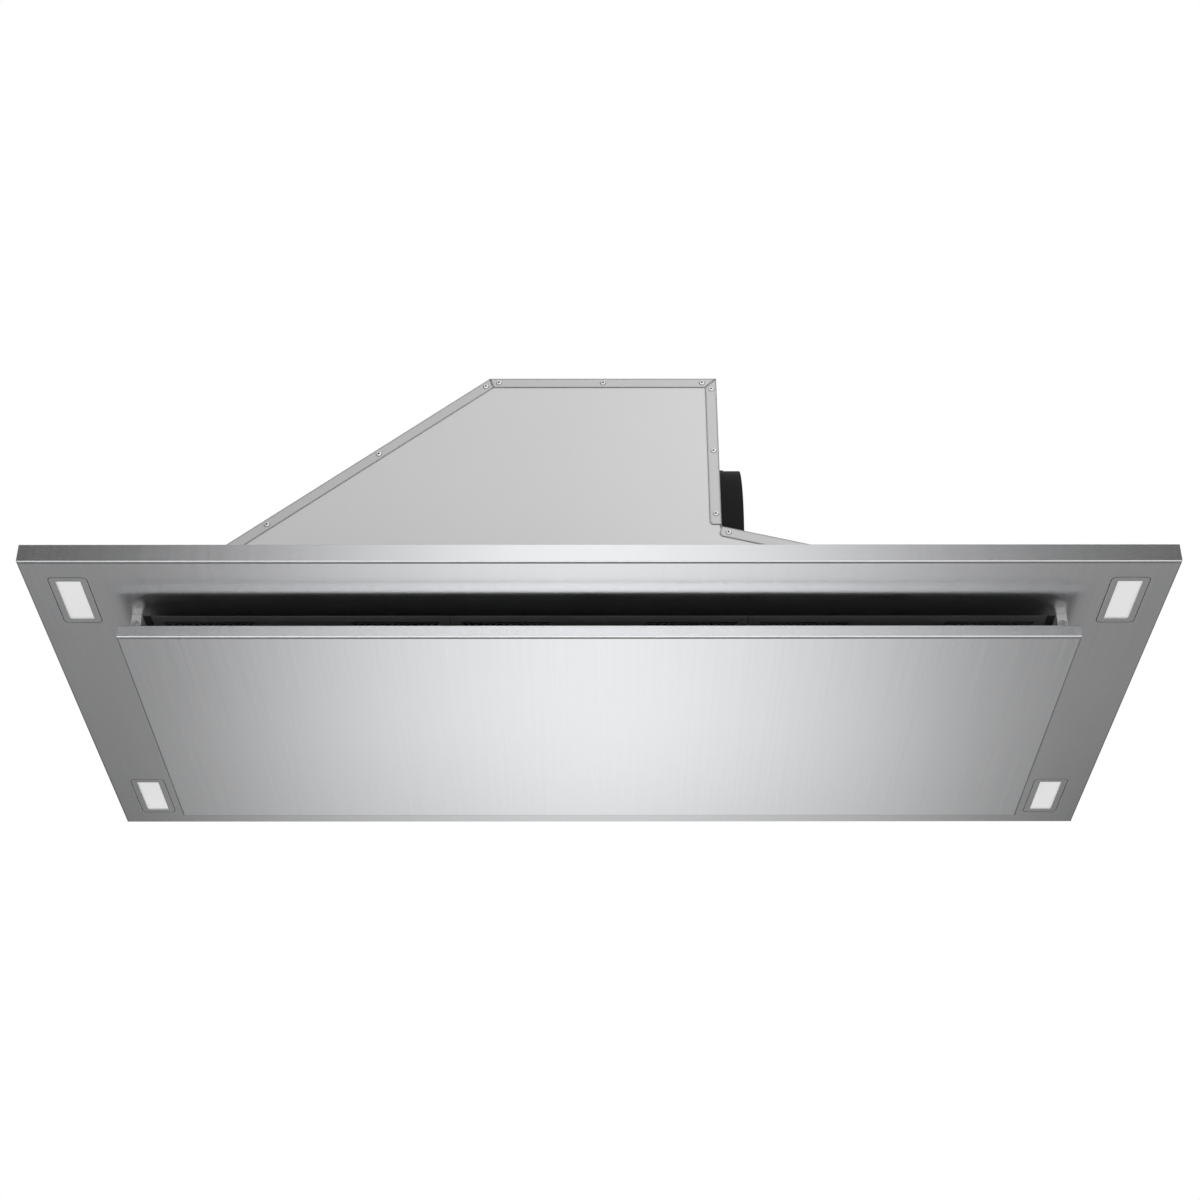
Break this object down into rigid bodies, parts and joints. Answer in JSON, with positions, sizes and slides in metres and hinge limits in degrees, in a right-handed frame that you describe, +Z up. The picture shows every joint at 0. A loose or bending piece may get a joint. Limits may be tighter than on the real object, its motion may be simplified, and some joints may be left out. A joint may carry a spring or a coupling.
{
  "type": "ceiling range hood",
  "caption": "Flush ceiling extractor hood: shallow steel canopy with corner lamps, drop-down perimeter panel under mesh filters, and a side-outlet blower body.",
  "frame": {"origin": "middle of the ceiling plane, which is the top of the canopy skirt", "axes": "+X along the canopy towards the duct collar, +Y from the front to the hinged rear edge of the panel, +Z up into the ceiling"},
  "size_m": [1.2, 0.6, 0.3509],
  "materials": {
    "brushed_steel": "vertical brushed stainless",
    "panel_steel": "vertical brushed stainless",
    "galvanised": "light grey coated sheet",
    "nickel_plate": "bright nickel plate",
    "spring_steel": "spring wire",
    "lamp_diffuser": "frosted white diffuser",
    "black_plastic": "black moulded plastic",
    "dark_metal": "dark coated metal",
    "black_paint": "black coated sheet",
    "black_anodised": "black anodised profile",
    "mesh_metal": "expanded aluminium",
    "wheel_metal": "zinc coated wheel",
    "motor_paint": "dark grey motor housing",
    "box_plastic": "light grey plastic",
    "aluminium_can": "drawn aluminium can"
  },
  "bodies": {
    "hood": {"canopy_tray": "brushed_steel", "lamp_bezel_front_left": "brushed_steel", "lamp_bezel_front_right": "brushed_steel", "lamp_bezel_rear_left": "brushed_steel", "lamp_bezel_rear_right": "brushed_steel", "lamp_diffuser_front_left": "lamp_diffuser", "lamp_diffuser_front_right": "lamp_diffuser", "lamp_diffuser_rear_left": "lamp_diffuser", "lamp_diffuser_rear_right": "lamp_diffuser", "lamp_housing_front_left": "galvanised", "lamp_housing_front_right": "galvanised", "lamp_housing_rear_left": "galvanised", "lamp_housing_rear_right": "galvanised", "body_front_sheet": "galvanised", "body_rear_sheet": "galvanised", "body_wrap_sheet": "galvanised", "body_ramp_sheet": "galvanised", "body_rivets": "nickel_plate", "duct_collar": "black_plastic", "damper_pins": "nickel_plate", "damper_springs": "spring_steel", "hinge_bracket_left": "nickel_plate", "hinge_bracket_right": "nickel_plate", "hinge_pins": "nickel_plate", "catch_left": "nickel_plate", "catch_right": "nickel_plate", "catch_balls": "nickel_plate", "catch_adjusters": "nickel_plate", "catch_springs": "spring_steel", "filter_rails": "black_paint", "filter_frame_left": "black_anodised", "filter_frame_middle": "black_anodised", "filter_frame_right": "black_anodised", "filter_mesh_left": "mesh_metal", "filter_mesh_middle": "mesh_metal", "filter_mesh_right": "mesh_metal", "latch_springs": "spring_steel", "blower_scroll": "galvanised", "inlet_ring_front": "galvanised", "inlet_ring_rear": "galvanised", "blower_motor": "motor_paint", "motor_arms": "galvanised", "control_box": "box_plastic", "control_box_lid": "box_plastic", "cable_gland": "black_plastic", "run_capacitor": "aluminium_can", "fixing_screws": "nickel_plate"},
    "perimeter_panel": {"panel_pan": "panel_steel", "panel_inner_tray": "black_paint", "strike_left": "nickel_plate", "strike_right": "nickel_plate", "hinge_leaf_left": "nickel_plate", "hinge_leaf_right": "nickel_plate", "panel_screws": "nickel_plate"},
    "blower_rotor": {"blower_wheel": "wheel_metal"},
    "front_flap": {"damper_flap_front": "dark_metal"},
    "rear_flap": {"damper_flap_rear": "dark_metal"},
    "left_latch": {"filter_latch_left": "dark_metal"},
    "middle_latch": {"filter_latch_middle": "dark_metal"},
    "right_latch": {"filter_latch_right": "dark_metal"}
  },
  "joints": [
    {"name": "panel_swing", "type": "hinge", "parent": "hood", "child": "perimeter_panel", "pos_m": [0, 0.203, -0.036], "axis": [1, 0, 0], "range_deg": [0, 85]},
    {"name": "rotor_spin", "type": "hinge", "parent": "hood", "child": "blower_rotor", "pos_m": [0, 0, 0.15], "axis": [0, 1, 0], "continuous": true},
    {"name": "front_flap_swing", "type": "hinge", "parent": "hood", "child": "front_flap", "pos_m": [0.144, -0.0036, 0.1883], "axis": [0, 0, 1], "range_deg": [0, 80], "stiffness_Nm_per_rad": 0.03, "springref_deg": -11.46},
    {"name": "rear_flap_swing", "type": "hinge", "parent": "hood", "child": "rear_flap", "pos_m": [0.144, 0.0036, 0.1883], "axis": [0, 0, -1], "range_deg": [0, 80], "stiffness_Nm_per_rad": 0.03, "springref_deg": -11.46},
    {"name": "left_latch_slide", "type": "slide", "parent": "hood", "child": "left_latch", "axis": [0, 1, 0], "range_m": [0, 0.007], "stiffness_N_per_m": 400, "springref_m": -0.004, "deforming": ["latch_springs"]},
    {"name": "middle_latch_slide", "type": "slide", "parent": "hood", "child": "middle_latch", "axis": [0, 1, 0], "range_m": [0, 0.007], "stiffness_N_per_m": 400, "springref_m": -0.004, "deforming": ["latch_springs"]},
    {"name": "right_latch_slide", "type": "slide", "parent": "hood", "child": "right_latch", "axis": [0, 1, 0], "range_m": [0, 0.007], "stiffness_N_per_m": 400, "springref_m": -0.004, "deforming": ["latch_springs"]}
  ]
}
